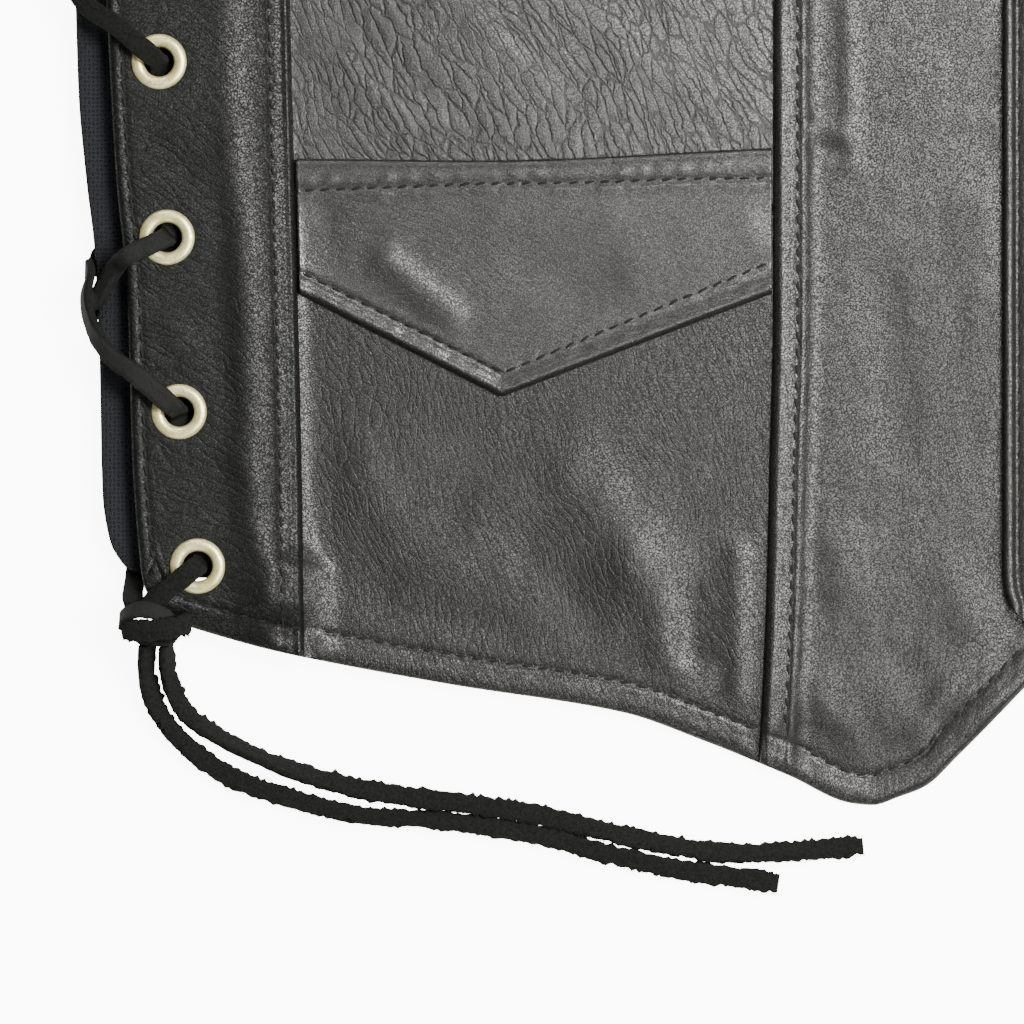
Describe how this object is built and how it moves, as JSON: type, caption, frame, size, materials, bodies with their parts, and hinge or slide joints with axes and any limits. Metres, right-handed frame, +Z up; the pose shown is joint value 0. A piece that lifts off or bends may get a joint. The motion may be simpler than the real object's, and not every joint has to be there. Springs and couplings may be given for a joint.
{
  "type": "leather vest",
  "caption": "Black leather vest with laced sides, flap pockets, a snap front and a pointed hem, laid flat front up.",
  "frame": {"origin": "middle of the vest's footprint, on the surface it lies on", "axes": "+X towards the wearer's left side, +Y from hem to shoulders, +Z up from the surface, out of the vest's front"},
  "size_m": [0.5074, 0.627, 0.0157],
  "materials": {
    "leather": "smooth black grain, satin, with greyed folds",
    "lining": "dark navy plain weave, matt",
    "brass": "pale antique brass, satin",
    "thong": "black suede sides and a smooth face"
  },
  "bodies": {
    "root": {"back_panel": "leather", "back_lining": "lining", "right_side_panel": "leather", "right_chest_panel": "leather", "right_pocket_front": "leather", "right_pocket_flap": "leather", "right_edge_panel": "leather", "right_grommet_front_1": "brass", "right_grommet_front_2": "brass", "right_grommet_front_3": "brass", "right_grommet_front_4": "brass", "right_grommet_front_5": "brass", "right_grommet_front_6": "brass", "right_grommet_back_1": "brass", "right_grommet_back_2": "brass", "right_grommet_back_3": "brass", "right_grommet_back_4": "brass", "right_grommet_back_5": "brass", "right_grommet_back_6": "brass", "right_lace": "thong", "right_knot": "thong", "right_tail_long": "thong", "right_tail_short": "thong", "left_side_panel": "leather", "left_chest_panel": "leather", "left_pocket_front": "leather", "left_pocket_flap": "leather", "left_edge_panel": "leather", "left_grommet_front_1": "brass", "left_grommet_front_2": "brass", "left_grommet_front_3": "brass", "left_grommet_front_4": "brass", "left_grommet_front_5": "brass", "left_grommet_front_6": "brass", "left_grommet_back_1": "brass", "left_grommet_back_2": "brass", "left_grommet_back_3": "brass", "left_grommet_back_4": "brass", "left_grommet_back_5": "brass", "left_grommet_back_6": "brass", "left_lace": "thong", "left_knot": "thong", "left_tail_long": "thong", "left_tail_short": "thong", "snap_1": "brass", "snap_2": "brass", "snap_3": "brass", "snap_4": "brass"}
  },
  "joints": []
}
